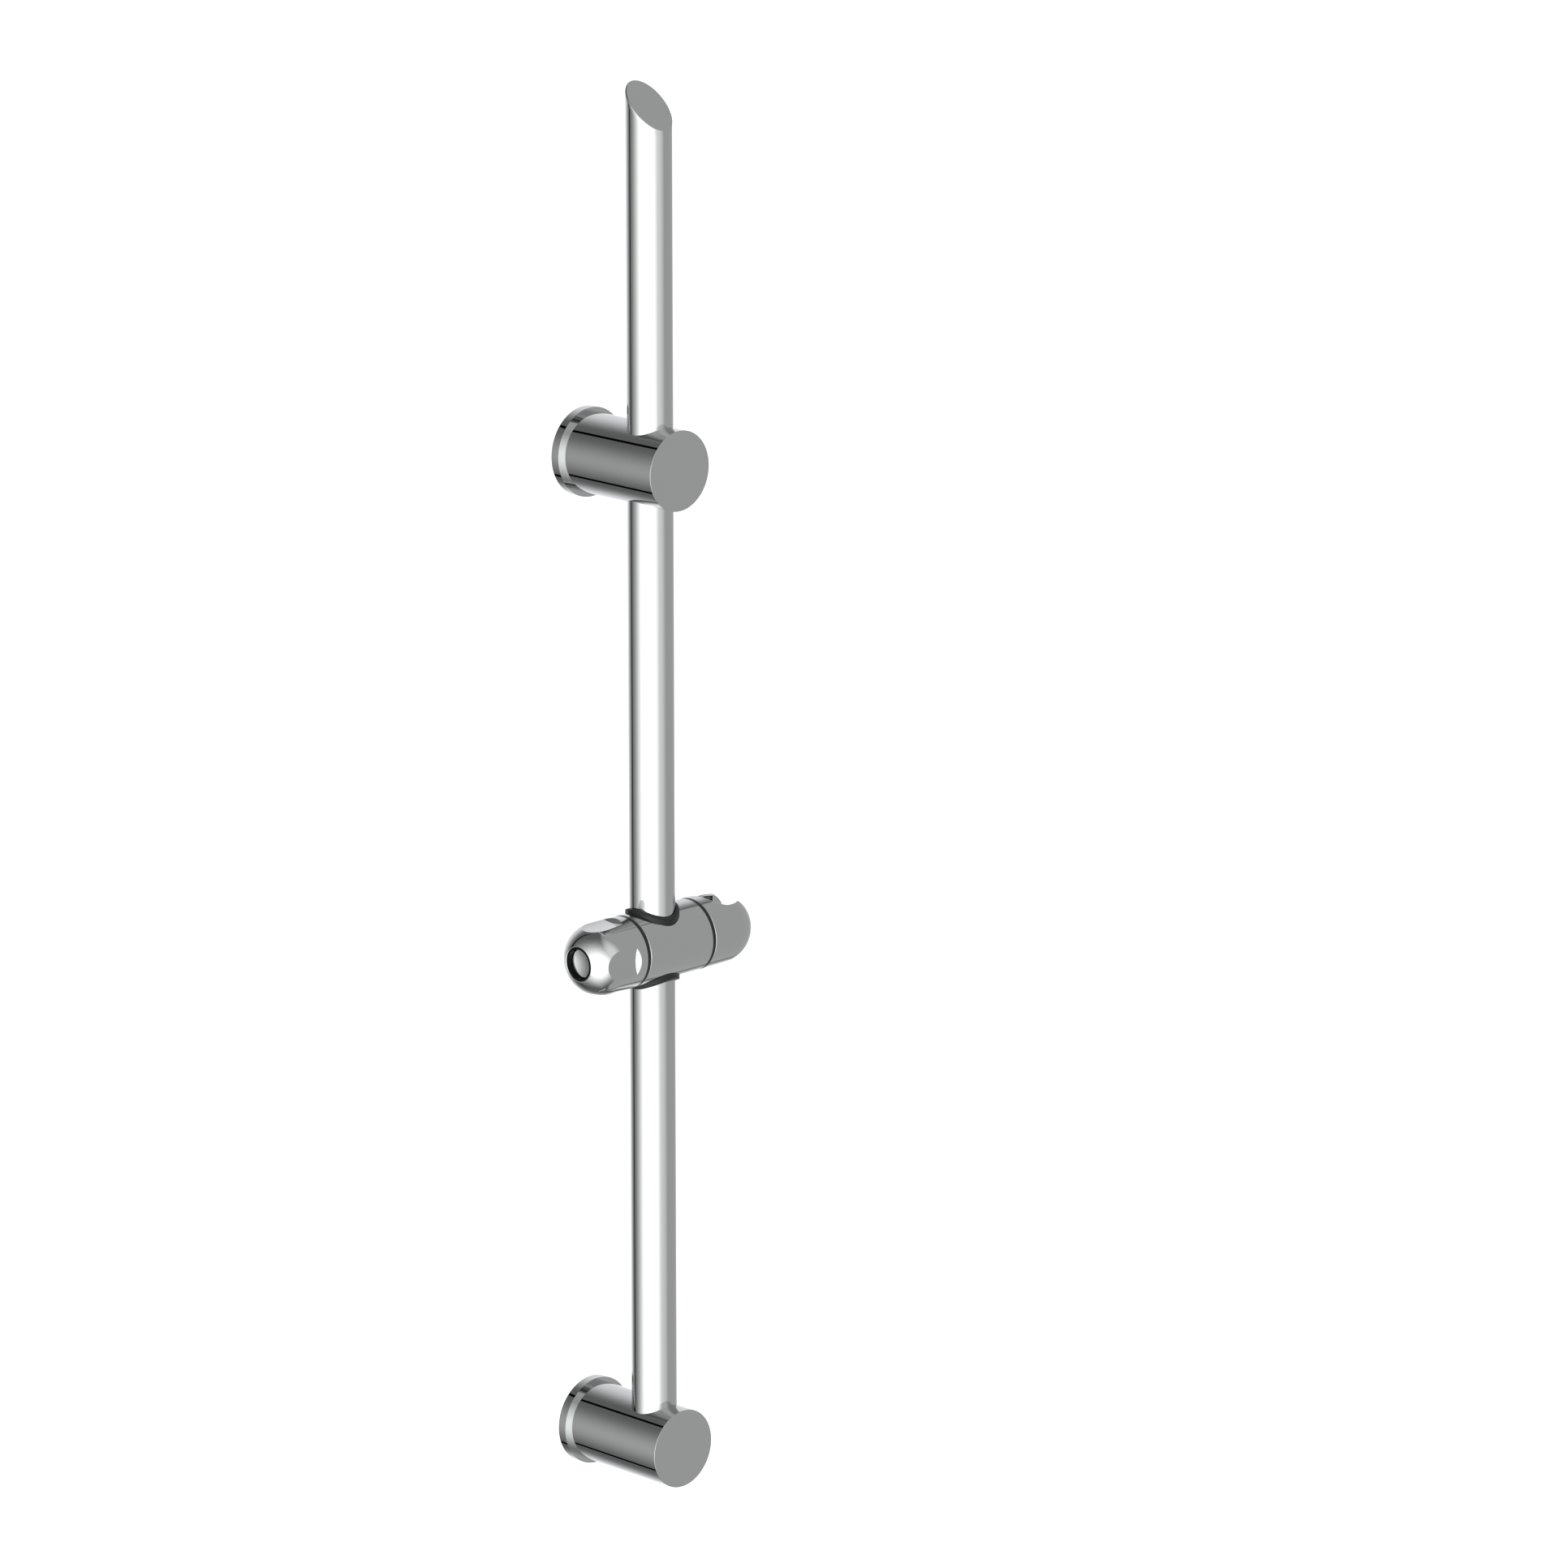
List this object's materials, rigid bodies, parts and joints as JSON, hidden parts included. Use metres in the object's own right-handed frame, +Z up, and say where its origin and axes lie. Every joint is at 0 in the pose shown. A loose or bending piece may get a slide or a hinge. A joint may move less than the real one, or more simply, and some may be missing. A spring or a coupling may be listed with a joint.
{
  "type": "shower slide rail",
  "caption": "Round chrome shower rail on cylindrical wall brackets, with a slant-cut top and a clamping slider that holds a handset in a tilting slotted socket.",
  "frame": {"origin": "where the lower bracket's axis meets the wall, in the middle of its wall screw hole", "axes": "+Z up along the rail, +Y into the wall, +X towards the handset side of the slider"},
  "size_m": [0.1209, 0.0732, 0.7824],
  "materials": {
    "rail_chrome": "polished chrome plate",
    "bracket_chrome": "polished chrome plate",
    "slider_chrome": "polished chrome plate",
    "black_plastic": "satin moulding",
    "white_nylon": "natural moulding",
    "screw_steel": "turned",
    "nut_brass": "turned",
    "seal_rubber": "matt",
    "spigot_metal": "turned"
  },
  "bodies": {
    "rail": {"rail_tube": "rail_chrome", "rail_top_cap": "rail_chrome", "lower_bracket_body": "bracket_chrome", "lower_wall_flange": "bracket_chrome", "lower_wall_seal": "seal_rubber", "lower_wall_spigot": "spigot_metal", "lower_lock_screw": "screw_steel", "lower_rail_screw": "screw_steel"},
    "upper_bracket": {"upper_bracket_body": "bracket_chrome", "upper_wall_flange": "bracket_chrome", "upper_wall_seal": "seal_rubber", "upper_wall_spigot": "spigot_metal", "upper_lock_screw": "screw_steel", "upper_rail_screw": "screw_steel"},
    "glide": {"glide_sleeve": "white_nylon"},
    "slider": {"slider_body": "slider_chrome", "upper_rail_bush": "black_plastic", "lower_rail_bush": "black_plastic", "knob_ring": "black_plastic", "holder_ring": "black_plastic", "knob_retaining_clip": "screw_steel", "holder_pivot_screw": "screw_steel", "holder_spring_washer": "screw_steel"},
    "knob": {"knob_shell": "slider_chrome", "clamp_nut": "nut_brass", "knob_eye_liner": "black_plastic", "knob_button": "slider_chrome"},
    "plunger": {"clamp_plunger": "white_nylon"},
    "holder": {"handset_holder": "slider_chrome"}
  },
  "joints": [
    {"name": "upper_bracket_slide", "type": "slide", "parent": "rail", "child": "upper_bracket", "axis": [0, 0, 1], "range_m": [0, 0.155]},
    {"name": "slider_slide", "type": "slide", "parent": "rail", "child": "glide", "axis": [0, 0, 1], "range_m": [-0.239, 0.222]},
    {"name": "slider_swivel", "type": "hinge", "parent": "glide", "child": "slider", "pos_m": [0, -0.0508, 0.2844], "axis": [0, 0, 1], "range_deg": [-46, 36]},
    {"name": "knob_turn", "type": "hinge", "parent": "slider", "child": "knob", "pos_m": [-0.0385, -0.0508, 0.2844], "axis": [-1, 0, 0], "range_deg": [0, 270]},
    {"name": "plunger_slide", "type": "slide", "parent": "slider", "child": "plunger", "axis": [-1, 0, 0], "range_m": [0, 0.0012]},
    {"name": "holder_tilt", "type": "hinge", "parent": "slider", "child": "holder", "pos_m": [0.0478, -0.0508, 0.2844], "axis": [1, 0, 0], "continuous": true}
  ],
  "couplings": [
    {"joint": "plunger_slide", "follows": "knob_turn", "m_per_rad": 0.00023873}
  ]
}
